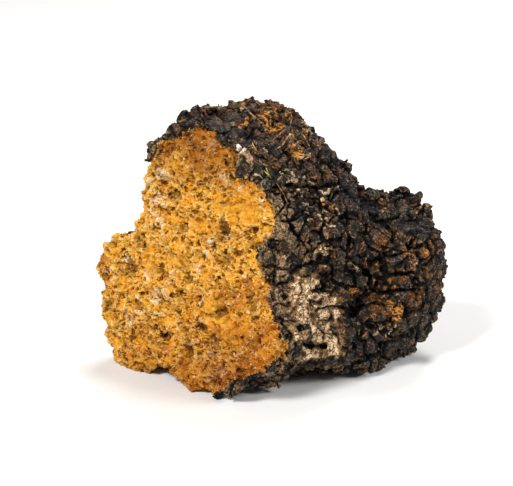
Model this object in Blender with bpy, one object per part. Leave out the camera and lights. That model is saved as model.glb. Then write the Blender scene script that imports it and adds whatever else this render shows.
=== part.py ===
"""A chaga conk, broken off its birch and lying on its crusty underside.

It grew as one piece, so it is one solid: a flat, corky break where it left the tree, and
behind that a crust in swollen lobes, cracked into blocks like burnt wood. It is built in
the frame of the break (X across it, Y into the conk, Z up it), then laid down as it rests.
Lengths are millimetres until they reach Blender.
"""
import math

import bpy
from mathutils import Matrix, Vector, noise

MM = 0.001
SEED = 7

# Outline of the break as (across, up), clockwise from its left shoulder
BREAK_OUTLINE = [
    (-12, 48), (-5, 52), (4, 53), (10, 49), (23, 46), (22, 40), (30, 37), (35, 33),
    (40, 26), (40, 20), (35, 10), (37, 4), (41, -6), (45, -15), (47, -25), (42, -35),
    (32, -40), (26, -48), (19, -52), (10, -53), (0, -51), (-10, -49), (-18, -50),
    (-26, -54), (-37, -52), (-43, -51), (-48, -40), (-52, -31), (-49, -21), (-53, -14),
    (-51, -5), (-44, -1), (-34, 4), (-29, 14), (-31, 26), (-28, 35), (-26, 42),
]
BREAK_MARGIN = 1.0
RIM_DEPTH = 16.0
BREAK_SPARE = 8.0

# Swellings of the crust: centre and radii as (across, depth, up)
LOBES = [
    ((5, 31, 29), (30, 31, 32)),
    ((-10, 13, 44), (17, 13, 16)),
    ((16, 41, 3), (34, 35, 42)),
    ((27, 63, 15), (16, 15, 16)),
    ((33, 75, -8), (32, 31, 33)),
    ((37, 80, -26), (22, 22, 22)),
    ((23, 54, -32), (28, 33, 20)),
    ((-8, 38, -32), (24, 22, 20)),
    ((-17, 26, -12), (26, 27, 34)),
    ((-32, 16, -26), (20, 23, 29)),
    ((25, 14, -14), (23, 24, 34)),
    ((28, 12, 18), (14, 18, 24)),
    ((34, 80, 16), (14, 14, 12)),
    ((20, 6, -47), (8, 7, 8)),
    ((30, 20, -44), (7, 7, 8)),
]
BLEND_VOXEL = 2.0
BLEND_PASSES = 10

# The crust: swells, and blocks of charcoal-like rind with cracks between them
SWELL_SIZE = 26.0
SWELL_RISE = 2.2
BLOCK_SIZE = 10.5
BLOCK_RISE = 1.5
BLOCK_BEND = 3.0
CRACK_WIDTH = 2.2
CRACK_DEPTH = 2.6
KNOB_SIZE = 5.0
KNOB_RISE = 0.9
RELIEF_VOXEL = 1.3

# The heart of the break: low waves, and hollows as (across, up, radius, depth)
WAVE_SIZE = 15.0
WAVE_RISE = 1.3
PORE_SIZE = 6.0
PORE_DEPTH = 1.2
HEART_HOLLOWS = [
    (14, 14, 2.8, 3.0), (17, 5, 4.0, 1.6), (-33, -12, 4.0, 2.0), (3, -27, 3.0, 2.2),
    (-5, -13, 2.5, 1.8), (23, -6, 2.5, 1.8), (14, -18, 3.0, 1.6), (14, -28, 4.5, 2.0),
    (-13, -32, 4.0, 1.8), (0, -38, 3.5, 1.6), (-13, 24, 3.0, 1.5), (-12, 16, 2.5, 1.5),
]
HEART_END = 0.9
CRUST_START = 2.6

TRIANGLES = 9600

# How the conk lies: the break is turned to its left and leans back a little
BREAK_TURN = math.radians(41.0)
BREAK_LEAN = math.radians(6.0)
BREAK_HEIGHT = 52.5

CRUST_COLOUR = (0.035, 0.026, 0.021)
CRUST_ROUGHNESS = 0.7
HEART_COLOUR = (0.60, 0.27, 0.045)
HEART_ROUGHNESS = 0.9


for stray in list(bpy.data.objects):
    bpy.data.objects.remove(stray)
noise.seed_set(SEED)


def add_slab():
    """The break's outline as a closed curve, extruded into the conk and a little in front."""
    curve = bpy.data.curves.new("break slab", "CURVE")
    curve.dimensions = "2D"
    curve.fill_mode = "BOTH"
    curve.extrude = (RIM_DEPTH + BREAK_SPARE) / 2 * MM
    curve.offset = BREAK_MARGIN * MM
    spline = curve.splines.new("BEZIER")
    spline.bezier_points.add(len(BREAK_OUTLINE) - 1)
    for point, (across, up) in zip(spline.bezier_points, BREAK_OUTLINE):
        point.co = (across * MM, up * MM, 0)
        point.handle_left_type = point.handle_right_type = "AUTO"
    spline.use_cyclic_u = True
    spline.resolution_u = 4
    slab = bpy.data.objects.new("slab", curve)
    bpy.context.scene.collection.objects.link(slab)
    slab.rotation_euler = (math.pi / 2, 0, 0)
    slab.location = (0, (RIM_DEPTH - BREAK_SPARE) / 2 * MM, 0)
    return slab


def add_lobe(centre, radii):
    bpy.ops.mesh.primitive_ico_sphere_add(subdivisions=4, radius=1, location=Vector(centre) * MM)
    lobe = bpy.context.object
    lobe.scale = Vector(radii) * MM
    return lobe


def join(pieces):
    """Makes one mesh of the pieces, with their places and sizes in it."""
    bpy.ops.object.select_all(action="DESELECT")
    for piece in pieces:
        piece.select_set(True)
    bpy.context.view_layer.objects.active = pieces[0]
    bpy.ops.object.convert(target="MESH")
    bpy.ops.object.join()
    bpy.ops.object.transform_apply(location=True, rotation=True, scale=True)
    return bpy.context.object


def modify(kind, **settings):
    """Puts a modifier on the conk and applies it."""
    modifier = conk.modifiers.new(kind.title(), kind)
    for name, value in settings.items():
        setattr(modifier, name, value)
    bpy.ops.object.modifier_apply(modifier=modifier.name)


def cut_flat(away):
    """Cuts the conk through the origin and caps it, taking off what lies towards away."""
    bpy.ops.object.mode_set(mode="EDIT")
    bpy.ops.mesh.select_all(action="SELECT")
    bpy.ops.mesh.bisect(
        plane_co=(0, 0, 0), plane_no=away, use_fill=True, clear_outer=True, threshold=1e-7
    )
    bpy.ops.mesh.select_all(action="SELECT")
    bpy.ops.mesh.delete_loose()
    bpy.ops.object.mode_set(mode="OBJECT")


def ramp(value, low, high):
    """A smooth rise from 0 at low to 1 at high."""
    part = min(max((value - low) / (high - low), 0.0), 1.0)
    return part * part * (3 - 2 * part)


def push_out(relief):
    """Moves each point of the conk along its normal by relief(point), all in millimetres."""
    moves = [vertex.normal * relief(vertex.co / MM) * MM for vertex in conk.data.vertices]
    for vertex, move in zip(conk.data.vertices, moves):
        vertex.co += move


def swell(point):
    return noise.noise(point / SWELL_SIZE) * 2 * SWELL_RISE


def crust_relief(point):
    """Blocks at heights of their own, with a crack where two of them meet."""
    bent = point + noise.noise_vector(point / BLOCK_SIZE) * BLOCK_BEND
    distances, seeds = noise.voronoi(bent / BLOCK_SIZE)
    apart = (seeds[1] - seeds[0]).length
    edge = (distances[1] ** 2 - distances[0] ** 2) / (2 * apart) * BLOCK_SIZE
    block = noise.cell(seeds[0] * BLOCK_SIZE) * 2 - 1
    knobs = noise.noise(point / KNOB_SIZE) * KNOB_RISE
    crack = 1 - ramp(edge, 0, CRACK_WIDTH)
    return (block * BLOCK_RISE + knobs) * (1 - crack) - CRACK_DEPTH * crack


def heart_relief(point):
    """Low waves of corky tissue, with pores and a few larger hollows."""
    height = noise.noise(point / WAVE_SIZE) * 2 * WAVE_RISE
    nearest = noise.voronoi(point / PORE_SIZE)[0][0]
    height -= PORE_DEPTH * (1 - ramp(nearest, 0.1, 0.5))
    for across, up, radius, depth in HEART_HOLLOWS:
        reach = math.hypot(point.x - across, point.z - up) / radius
        height -= depth * math.exp(-reach * reach)
    return height


def relief(point):
    crust = ramp(point.y, HEART_END, CRUST_START)
    return crust * crust_relief(point) + (1 - crust) * heart_relief(point)


def add_material(name, colour, roughness):
    material = bpy.data.materials.new(name)
    material.use_nodes = True
    shader = material.node_tree.nodes["Principled BSDF"]
    shader.inputs["Base Color"].default_value = (*colour, 1)
    shader.inputs["Roughness"].default_value = roughness
    shader.inputs["Metallic"].default_value = 0
    conk.data.materials.append(material)


conk = join([add_slab()] + [add_lobe(*lobe) for lobe in LOBES])
conk.name = conk.data.name = "chaga"

# The lobes melt into one body, which is swollen and then broken off flat
modify("REMESH", mode="VOXEL", voxel_size=BLEND_VOXEL * MM)
modify("SMOOTH", factor=0.6, iterations=BLEND_PASSES)
push_out(swell)
cut_flat(away=(0, -1, 0))

# Both surfaces get their relief on a fine skin, which is then thinned to the fewest faces
modify("REMESH", mode="VOXEL", voxel_size=RELIEF_VOXEL * MM)
modify("SMOOTH", factor=0.5, iterations=2)
push_out(relief)
modify("REMESH", mode="VOXEL", voxel_size=RELIEF_VOXEL * MM)
conk.data.calc_loop_triangles()
modify("DECIMATE", ratio=TRIANGLES / len(conk.data.loop_triangles), use_collapse_triangulate=True)

# The crust and the heart that the break lays bare each have their own finish
add_material("charred_crust", CRUST_COLOUR, CRUST_ROUGHNESS)
add_material("corky_heart", HEART_COLOUR, HEART_ROUGHNESS)
for face in conk.data.polygons:
    faces_out = face.normal.y < -0.4
    face.material_index = int(faces_out and face.center.y < CRUST_START * MM)

# Laid down as it rests, over the middle of its box, and flat where it touches the surface
lie = Matrix.Rotation(-BREAK_TURN, 4, "Z") @ Matrix.Rotation(-BREAK_LEAN, 4, "X")
conk.data.transform(Matrix.Translation((0, 0, BREAK_HEIGHT * MM)) @ lie)
cut_flat(away=(0, 0, -1))
corners = [Vector(corner) for corner in conk.bound_box]
middle = (corners[0] + corners[6]) / 2
conk.data.transform(Matrix.Translation((-middle.x, -middle.y, 0)))
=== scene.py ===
import math
import random

import bpy
import numpy as np
from mathutils import Matrix, Vector, noise
from mathutils.bvhtree import BVHTree


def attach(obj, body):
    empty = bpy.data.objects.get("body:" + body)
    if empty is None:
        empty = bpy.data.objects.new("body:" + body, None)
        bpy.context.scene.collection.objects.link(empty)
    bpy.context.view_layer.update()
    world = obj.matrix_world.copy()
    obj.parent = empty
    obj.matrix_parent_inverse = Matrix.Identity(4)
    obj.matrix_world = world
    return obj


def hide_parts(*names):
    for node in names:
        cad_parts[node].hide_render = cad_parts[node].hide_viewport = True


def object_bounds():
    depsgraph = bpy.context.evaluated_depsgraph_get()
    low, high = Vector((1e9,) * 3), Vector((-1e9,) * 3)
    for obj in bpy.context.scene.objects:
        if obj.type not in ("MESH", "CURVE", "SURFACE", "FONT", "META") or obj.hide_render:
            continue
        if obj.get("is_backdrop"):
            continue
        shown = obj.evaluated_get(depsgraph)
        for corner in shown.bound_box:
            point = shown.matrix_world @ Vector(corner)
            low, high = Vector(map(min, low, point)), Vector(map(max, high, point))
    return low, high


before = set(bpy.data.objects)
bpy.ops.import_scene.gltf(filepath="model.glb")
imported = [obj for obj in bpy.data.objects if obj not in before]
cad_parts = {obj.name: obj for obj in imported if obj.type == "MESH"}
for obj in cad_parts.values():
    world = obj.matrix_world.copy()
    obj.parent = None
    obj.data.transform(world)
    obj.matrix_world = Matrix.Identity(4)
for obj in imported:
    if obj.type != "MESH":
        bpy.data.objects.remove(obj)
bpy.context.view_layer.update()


# The studio. Matt white paper carries the conk, one large softbox stands to the left of the
# camera, weaker ones stand to the right and hang behind, and white walls fill the shadows.
FLOOR_SIZE = 6.0
FLOOR_DROP = 0.0001
PAPER_WHITE = "#F4F3F1"
PAPER_ROUGHNESS = 0.9
WALL_WHITE = "#FFFFFF"
WALL_LIGHT = 0.16
SOFTBOXES = {
    "key": {"place": (-0.75, -1.0, 1.25), "size": 0.4, "watts": 28.0},
    "side": {"place": (1.3, -0.5, 0.9), "size": 0.5, "watts": 15.0},
    "top": {"place": (0.25, 0.7, 1.3), "size": 0.6, "watts": 14.0},
}

# The camera's place, from the photograph: 18 degrees up, 0.4 mm of the conk to a pixel
AIM = Vector((-0.00686, -0.00102, 0.05433))
ELEVATION = math.radians(18)
DISTANCE = 0.7
PIXEL = 0.0004
PHOTO_WIDTH = 513
PHOTO_MIDDLE = (256.5, 243)
SENSOR = 36.0


def linear(colour):
    """An sRGB hex colour as the linear values that a shader takes."""
    parts = [int(colour[place:place + 2], 16) / 255 for place in (1, 3, 5)]
    return [part / 12.92 if part <= 0.04045 else ((part + 0.055) / 1.055) ** 2.4 for part in parts] + [1]


def add_node(tree, kind, inputs=(), stops=(), **settings):
    """Adds a shader node. An input is given a value, a hex colour or another node's output."""
    node = tree.nodes.new(kind)
    for name, value in settings.items():
        setattr(node, name, value)
    for name, value in dict(inputs).items():
        if isinstance(value, bpy.types.NodeSocket):
            tree.links.new(value, node.inputs[name])
        else:
            node.inputs[name].default_value = linear(value) if isinstance(value, str) else value
    for number, (place, colour) in enumerate(stops):
        elements = node.color_ramp.elements
        stop = elements[number] if number < 2 else elements.new(place)
        stop.position = place
        stop.color = linear(colour)
    return node


def new_material(name, **finish):
    """A material, its tree and its shader, which has the given values all over."""
    material = bpy.data.materials.new(name)
    material.use_nodes = True
    shader = material.node_tree.nodes["Principled BSDF"]
    for socket, value in finish.items():
        shader.inputs[socket.replace("_", " ")].default_value = value
    return material, material.node_tree, shader


bpy.ops.object.select_all(action="DESELECT")
bpy.ops.mesh.primitive_plane_add(size=FLOOR_SIZE, location=(0, 0, -FLOOR_DROP))
floor = bpy.context.object
floor.name = "floor"
# Uncoated paper: an even white with no shine
paper, tree, shader = new_material(
    "matt white paper", Base_Color=linear(PAPER_WHITE), Roughness=PAPER_ROUGHNESS)
floor.data.materials.append(paper)
floor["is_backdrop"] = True

for name, box in SOFTBOXES.items():
    bpy.ops.object.light_add(type="AREA", location=box["place"])
    light = bpy.context.object
    light.name = name + " softbox"
    light.data.size = box["size"]
    light.data.energy = box["watts"]
    light.rotation_euler = (AIM - light.location).to_track_quat("-Z", "Y").to_euler()

world = bpy.data.worlds.new("white room")
world.use_nodes = True
world.node_tree.nodes["Background"].inputs["Strength"].default_value = WALL_LIGHT
world.node_tree.nodes["Background"].inputs["Color"].default_value = linear(WALL_WHITE)
bpy.context.scene.world = world
bpy.context.scene.view_settings.view_transform = "Standard"

back = Vector((0, -math.cos(ELEVATION), math.sin(ELEVATION)))
bpy.ops.object.camera_add(location=AIM + back * DISTANCE)
camera = bpy.context.object
camera.rotation_euler = back.to_track_quat("Z", "Y").to_euler()
camera.data.sensor_width = SENSOR
camera.data.lens = SENSOR * DISTANCE / (PHOTO_WIDTH * PIXEL)
bpy.context.scene.camera = camera


# The skin of the whole conk. It grew as one piece, so its rind and its broken heart start
# as one closed skin over the solid, in the frame of the break: X across it, Y into the
# conk, Z up it, in millimetres. It is relaxed a little, which takes out the facets.
MM = 0.001
BREAK_MIDDLE = Vector((-30.94, -17.02, 52.5)) * MM
BREAK_TURN = math.radians(41)
BREAK_LEAN = math.radians(6)
WELD = 0.01 * MM
SKIN_VOXEL = 0.8
RELAX_PASSES = 12
RELAX_STRENGTH = 0.5

lie = (
    Matrix.Translation(BREAK_MIDDLE)
    @ Matrix.Rotation(-BREAK_TURN, 4, "Z")
    @ Matrix.Rotation(-BREAK_LEAN, 4, "X")
    @ Matrix.Scale(MM, 4)
)
stand = lie.inverted()


def only(piece):
    """Makes a piece the one that is selected and active."""
    bpy.ops.object.select_all(action="DESELECT")
    piece.select_set(True)
    bpy.context.view_layer.objects.active = piece


def modify(piece, kind, **settings):
    """Puts a modifier on a piece and applies it."""
    only(piece)
    modifier = piece.modifiers.new(kind.title(), kind)
    for name, value in settings.items():
        setattr(modifier, name, value)
    bpy.ops.object.modifier_apply(modifier=modifier.name)


skin = bpy.data.objects.new("skin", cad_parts["chaga"].data.copy())
bpy.context.scene.collection.objects.link(skin)
skin.data.materials.clear()
only(skin)
bpy.ops.object.mode_set(mode="EDIT")
bpy.ops.mesh.select_all(action="SELECT")
bpy.ops.mesh.remove_doubles(threshold=WELD)
bpy.ops.object.mode_set(mode="OBJECT")
skin.data.transform(stand)
modify(skin, "REMESH", mode="VOXEL", voxel_size=SKIN_VOXEL)
modify(skin, "SMOOTH", factor=RELAX_STRENGTH, iterations=RELAX_PASSES)


# The relief in the rough, on both surfaces. The rind has swollen in domed blocks and lumps,
# with knobs and ledges on its dry crown, and the heart tore off in waves and hollows.
# Sizes are in mm, and a spot is (pixel across, pixel down, radius, strength).
SEED = 7
WANDER = 2.2
BLOCK_SIZE = 10.5
LUMP_SIZE = 7.6
CELL_BEND = 3.0
LUMP_REACH = 2.2
SWELL_SIZE = 8.0
KNOB_SIZE = 5.4
NUB_SIZE = 3.3
LEDGE_SIZE = 9.0
LEDGE_TREAD = 0.7
LEDGE_RISER = 0.3
FLOW_SIZE = 5.0
FLOW_LEAN = math.radians(25)
FLOW_SWAY = (12.0, 4.0)
FIBRE_SQUEEZE = 0.4
DOME_REACH = 3.6
MEAN_DOME = 0.75
MEAN_PEBBLE = 0.6

# A spot fades out between two shares of its radius, and its edge wanders
SPOT_EDGE = (0.55, 1.15)
SPOT_WANDER = 0.6
SPOT_WANDER_MOST = 2.0
SPOT_SEARCH = 4.0

# How deep the heart goes at its edge and how much deeper further in, and how the edge drifts
FACE_END = 1.7
FACE_SOFT = 0.5
FACE_SUNK = 8.0
EDGE_ROUNDING = (0.8, 4.0)
EDGE_SOFT = 0.4
EDGE_RAGGED = 0.6
EDGE_DRIFT_SIZE = 4.0
EDGE_DRIFT = 1.2
EDGE_WANDER = 0.5
BULGE_SUNK = 5.0
FOLD_TILT = (0.3, 0.7)
FOLD_DEPTH = (2.0, 6.0)

# How the blocks of the solid are smoothed out, and how wide its cracks are
SMOOTHED_GAIN = 1.5
SMOOTHED_FROM = 0.03
SMOOTHING_STRENGTH = 0.7
SMOOTHING_PASSES = 60
SOLID_CRACK_WIDTH = 2.2

# Heights of the rind off the crown and on it, then heights that are the same on both
DOME_RISE = (1.3, 0.6)
LUMP_RISE = (1.2, 0.6)
KNOB_RISE = (0.4, 1.5)
LEDGE_RISE = (0.2, 1.5)
NUB_RISE = 0.4
SWELL_RISE = 0.7
PLATE_RISE = 0.3
FOLD_RISE = 0.9
EDGE_RISE = 2.8
SOLID_CRACK_FILL = 1.0

# Heights and depths of the heart
WAVE_RISE = 1.7
FLOW_RISE = 1.9
PIT_DEPTH = 2.4
RIM_DEPTH = 1.5
BROAD_BLUR = 30
FINE_VOXEL = 0.43

# The edge of the heart, clockwise from its left shoulder, as the photograph shows it
HEART_EDGE = [
    (151, 161), (158, 157), (160, 148), (168, 141), (175, 140), (182, 134), (188, 133), (194, 130),
    (200, 127), (208, 126), (214, 128), (217, 133), (219, 138), (220, 143), (222, 147), (226, 149),
    (233, 150), (236, 154), (241, 157), (240, 161), (237, 165), (235, 170), (236, 176), (239, 180),
    (247, 180), (252, 181), (257, 185), (262, 190), (266, 196), (269, 203), (272, 212), (273, 222),
    (271, 232), (266, 238), (261, 243), (257, 250), (258, 258), (260, 265), (263, 272), (264, 279),
    (268, 283), (269, 291), (267, 296), (270, 302), (272, 308), (275, 314), (277, 321), (279, 328),
    (280, 333), (280, 340), (281, 348), (279, 356), (276, 362), (275, 368), (268, 371), (260, 373),
    (250, 376), (240, 378), (232, 380), (228, 385), (222, 389), (214, 394), (206, 402), (190, 398),
    (172, 384), (160, 376), (150, 376), (140, 384), (122, 378), (102, 366), (94, 340), (92, 315),
    (90, 300), (90, 270), (96, 240), (112, 230), (130, 230), (136, 206), (134, 190), (138, 172),
    (146, 163),
]
EDGE_BULGES = [
    (155, 172, 5, 0.8), (153, 184, 5.5, 1), (152, 196, 5, 0.8), (150, 208, 4, 0.5), (140, 228, 3, 0.4),
]
CROWN = [
    (212, 118, 9, 1), (235, 112, 11, 1), (262, 112, 12, 1), (290, 120, 11, 1), (305, 140, 10, 0.9),
    (245, 135, 9, 0.9), (270, 140, 11, 1), (290, 160, 10, 0.8), (262, 160, 7, 0.8), (300, 175, 8, 0.6),
]
SHOULDER = [(156, 151, 6, 1), (163, 143, 3.6, 0.8)]
BIG_BLOCK = [(350, 283, 7.5, 1), (356, 290, 6, 1)]
LOBE_ON_FACE = [(246, 166, 4.6, 1), (241, 162, 3, 1), (250, 172, 3.4, 1)]
RIND_HOLLOWS = [
    (273, 125, 4.8, 1.4), (298, 153, 4.8, 1.4), (212, 111, 2.6, 1), (305, 187, 2.4, 0.6),
    (287, 185, 2.4, 1), (302, 344, 2, 0.4), (307, 345, 2.2, 0.45), (312, 346, 2.2, 0.45),
    (317, 346, 2.2, 0.45), (322, 345, 2, 0.4), (289, 364, 1.6, 0.6),
]
HEART_HOLLOWS = [
    (224, 229, 3, 1), (222, 222, 2.4, 0.9), (175, 194, 1.8, 0.8), (171, 195, 1.2, 0.6),
    (130, 265, 4, 0.7), (188, 277, 2, 0.8), (179, 292, 1.4, 0.9), (220, 313, 2.2, 0.9),
    (214, 315, 1.6, 0.7), (247, 281, 2.6, 0.7), (228, 257, 2.4, 0.8), (252, 302, 3.2, 0.8),
    (256, 309, 2.4, 0.6), (165, 334, 2.4, 0.8), (214, 341, 3.6, 0.6), (205, 327, 1.8, 0.7),
    (240, 371, 1.6, 0.8), (192, 355, 3, 0.5), (137, 305, 1.8, 0.6), (210, 182, 2, 0.5),
    (169, 148, 2.6, 0.6), (190, 178, 2.2, 0.6), (143, 236, 2, 0.6), (177, 215, 1.1, 0.7),
    (147, 248, 1.8, 0.6), (252, 343, 2.4, 0.5), (251, 194, 1.6, 0.5), (256, 228, 2, 0.5),
    (150, 190, 2.4, 0.4), (116, 255, 1.6, 0.4), (246, 254, 1.6, 0.6), (224, 284, 3.2, 0.4),
    (177, 148, 2, 0.4), (228, 160, 2.4, 0.5), (186, 140, 2.6, 0.4),
]
PALE_BARK = [
    (308, 290, 6, 1), (300, 298, 5.6, 0.9), (313, 281, 4.2, 0.8), (306, 308, 5.6, 0.9),
    (299, 318, 4.6, 0.8), (312, 318, 5, 0.9), (325, 313, 4.4, 1), (338, 312, 3.6, 0.9),
    (328, 303, 4.8, 1), (338, 304, 3, 0.8), (317, 330, 5, 1), (325, 327, 4.6, 0.9),
    (322, 338, 4.8, 0.9), (332, 343, 5, 0.9), (336, 353, 3.2, 0.6), (310, 354, 4.4, 0.7),
    (324, 251, 2.6, 0.8), (284, 257, 2.6, 0.5), (320, 352, 4, 0.6), (340, 322, 2.8, 0.5),
    (303, 273, 3, 0.5), (340, 333, 3, 0.5), (340, 345, 2.8, 0.5), (322, 268, 2, 0.5),
    (288, 310, 2.6, 0.5), (303, 338, 3.6, 0.6), (309, 222, 1.2, 0.6), (296, 284, 3.4, 0.6),
    (294, 330, 2.6, 0.5),
]
BARE = [
    (270, 124, 3.2, 1), (276, 126, 2.8, 1), (266, 121, 2.2, 0.9), (281, 124, 1.8, 0.8),
    (264, 127, 2, 0.8), (268, 114, 2.2, 0.9), (275, 113, 2.2, 0.9), (262, 114, 1.6, 0.7),
    (298, 153, 3.2, 1), (301, 148, 2.2, 1), (294, 157, 2.2, 1), (303, 143, 1.6, 0.6),
    (242, 103, 1.2, 0.9), (246, 124, 1.8, 0.9), (241, 125, 1.4, 0.7), (247, 118, 1.4, 0.7),
    (323, 203, 1, 1), (287, 111, 2, 0.7), (396, 312, 3, 1), (390, 307, 2.2, 0.9), (402, 306, 1.6, 0.8),
    (353, 292, 1.8, 0.7), (427, 252, 1.6, 0.8), (306, 118, 1.8, 0.6), (306, 134, 1.6, 0.6),
]
SLEEK = [
    (228, 130, 6, 1), (242, 133, 6, 1), (253, 142, 5, 1), (264, 140, 4, 0.9), (215, 119, 5, 0.9),
    (232, 117, 4, 0.8), (248, 108, 4, 0.7), (286, 145, 5, 0.9), (281, 156, 4, 0.8), (244, 170, 5, 1),
    (254, 178, 4, 0.8), (268, 184, 5, 0.9), (275, 196, 5, 0.9), (282, 205, 4, 0.8), (284, 218, 5, 0.8),
    (280, 232, 5, 0.7), (290, 226, 4, 0.6), (313, 240, 4, 0.6), (302, 240, 4, 0.6), (350, 283, 6, 0.7),
    (370, 248, 4, 0.6), (345, 235, 4, 0.6), (382, 226, 4, 0.6), (278, 272, 4, 0.7), (276, 292, 4, 0.7),
    (280, 310, 4, 0.7), (236, 390, 4, 0.7), (278, 380, 5, 0.7),
]


def vectors_of(piece, kind):
    """The places ("co") or directions ("normal") of a piece's points, as rows."""
    rows = np.empty(len(piece.data.vertices) * 3, np.float32)
    piece.data.vertices.foreach_get(kind, rows)
    return rows.reshape(-1, 3)


def put(piece, places):
    piece.data.vertices.foreach_set("co", places.astype(np.float32).ravel())
    piece.data.update()


def push_out(piece, height):
    """Moves each point of a piece out along its normal, in millimetres."""
    put(piece, vectors_of(piece, "co") + vectors_of(piece, "normal") * height[:, None])


def store(piece, name, values):
    attribute = piece.data.attributes.new(name, "FLOAT", "POINT")
    attribute.data.foreach_set("value", values.astype(np.float32))


def surface_of(piece):
    """A piece's surface, for lines of sight to meet."""
    bpy.context.view_layer.update()
    return BVHTree.FromObject(piece, bpy.context.evaluated_depsgraph_get())


def sight(pixel):
    """The direction in which the camera sees a pixel."""
    across = (pixel[0] - PHOTO_MIDDLE[0]) * PIXEL / DISTANCE
    down = (pixel[1] - PHOTO_MIDDLE[1]) * PIXEL / DISTANCE
    return to_break @ Vector((across, -down, -1))


def seen_at(pixel):
    """The place on the skin that the photograph shows at a pixel, or None beside the conk."""
    return skin_tree.ray_cast(eye, sight(pixel))[0]


def on_break(pixel):
    """Where a line of sight meets the flat of the break, as (across, up)."""
    line = sight(pixel)
    place = eye - line * (eye.y / line.y)
    return place.x, place.z


def ramp(value, low, high):
    """A smooth rise from 0 at low to 1 at high."""
    part = np.clip((value - low) / (high - low), 0, 1)
    return part * part * (3 - 2 * part)


def between(share, values):
    """The first of two values where a share is 0, the second where it is 1."""
    return values[0] + (values[1] - values[0]) * share


def inside_of(places, outline):
    """How far each place is inside an outline on the break, less than 0 outside it."""
    across, up = places[:, 0], places[:, 2]
    nearest = np.full(len(places), 1e3)
    inside = np.zeros(len(places), bool)
    for (x, z), (x_next, z_next) in zip(outline, outline[1:] + outline[:1]):
        run = x_next - x, z_next - z
        reach = ((across - x) * run[0] + (up - z) * run[1]) / (run[0] ** 2 + run[1] ** 2)
        reach = np.clip(reach, 0, 1)
        nearest = np.minimum(nearest, np.hypot(across - x - reach * run[0], up - z - reach * run[1]))
        crosses = (z > up) != (z_next > up)
        inside ^= crosses & (across < x + (up - z) * run[0] / (run[1] or 1e-9))
    return np.where(inside, nearest, -nearest)


def patches(places, spots, wander):
    """How much each place lies in one of the spots, whose edges wander."""
    share = np.zeros(len(places))
    for across, down, radius, strength in spots:
        middle = seen_at((across, down))
        if middle is None:
            continue
        near = np.abs(places - np.array(middle)).max(1) < radius + SPOT_SEARCH
        away = np.linalg.norm(places[near] - np.array(middle), axis=1)
        away = away + wander[near] * min(SPOT_WANDER_MOST, radius * SPOT_WANDER)
        fade = ramp(away, radius * SPOT_EDGE[0], radius * SPOT_EDGE[1])
        share[near] = np.maximum(share[near], strength * (1 - fade))
    return share


def sample(pattern, places):
    """A pattern's value, or its row of values, at each of the places."""
    return np.array([pattern(Vector(place)) for place in places.tolist()])


def clouds(size):
    """A pattern that drifts between -1 and 1."""
    return lambda point: noise.noise(point / size)


def tufts(size, smoothness, finer, layers):
    """A pattern of clouds with finer ones on them."""
    return lambda point: noise.fractal(point / size, smoothness, finer, layers)


def crackle(size, bend):
    """A pattern of cells: how far a point is inside its own, and the cell's number."""
    def pattern(point):
        bent = point + noise.noise_vector(point / size) * bend
        distances, seeds = noise.voronoi(bent / size)
        apart = (seeds[1] - seeds[0]).length
        edge = (distances[1] ** 2 - distances[0] ** 2) / (2 * apart) * size
        return edge, noise.cell(seeds[0] * size)
    return pattern


def pebbles(size, bend):
    """A pattern of rounded lumps with creases between them, from 0 to 1."""
    def pattern(point):
        bent = point / size + noise.noise_vector(point / size * 0.8) * bend
        return max(0.0, 1 - (noise.voronoi(bent)[0][0] * 1.2) ** 2)
    return pattern


def terraces(size, steps):
    """A pattern of ledges: swells that rise in steps, as where thin layers have broken away."""
    def pattern(point):
        height = noise.fractal(point / size, 0.8, 2.1, 4) * steps / 2
        level = math.floor(height)
        part = min(max((height - level - LEDGE_TREAD) / LEDGE_RISER, 0), 1)
        return (level + part) / steps * 2
    return pattern


def drawn_out(pattern, lean, sway_size, sway):
    """A pattern drawn out along the fibre of the heart, which leans and sways."""
    squeeze = Matrix.Diagonal((FIBRE_SQUEEZE, 1, 1))
    stretch = Matrix.Rotation(lean, 3, "Y") @ squeeze @ Matrix.Rotation(-lean, 3, "Y")
    return lambda point: pattern(stretch @ point + noise.noise_vector(point / sway_size) * sway)


def crests_of(piece, passes):
    """How far each point stands out of its blurred surroundings, in millimetres."""
    places = vectors_of(piece, "co").astype(float)
    count = len(places)
    ends = np.empty(len(piece.data.edges) * 2, np.int32)
    piece.data.edges.foreach_get("vertices", ends)
    first, second = ends.reshape(-1, 2).T
    both = np.concatenate([first, second])
    others = np.concatenate([second, first])
    links = np.bincount(both, minlength=count)
    blurred = places.copy()
    for _ in range(passes):
        around = [np.bincount(both, blurred[others, axis], count) / links for axis in range(3)]
        blurred = (blurred + np.array(around).T) / 2
    return ((places - blurred) * vectors_of(piece, "normal")).sum(1)


noise.seed_set(SEED)
skin_tree = surface_of(skin)
eye = stand @ camera.matrix_world.translation
to_break = stand.to_3x3() @ camera.matrix_world.to_3x3()
outline = [on_break(pixel) for pixel in HEART_EDGE]
points = vectors_of(skin, "co")
wander = sample(clouds(WANDER), points)

# The heart is the flat that lies inside the outline. Deeper than its edge, all is rind.
drift = sample(clouds(EDGE_DRIFT_SIZE), points) * EDGE_DRIFT + wander * EDGE_WANDER
inside = inside_of(points, outline) + drift * EDGE_RAGGED
edge_bulges = patches(points, EDGE_BULGES, wander)
wrapped = FACE_SUNK * ramp(inside, *EDGE_ROUNDING) + BULGE_SUNK * edge_bulges
beyond = ramp(points[:, 1] + drift - wrapped, FACE_END - FACE_SOFT, FACE_END + FACE_SOFT)
heart = ramp(inside, -EDGE_SOFT, EDGE_SOFT) * (1 - beyond)
rind = 1 - heart
store(skin, "heart", heart)
folded = rind * ramp(-vectors_of(skin, "normal")[:, 1], *FOLD_TILT)
folded = folded * (1 - ramp(points[:, 1], *FOLD_DEPTH))

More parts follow.
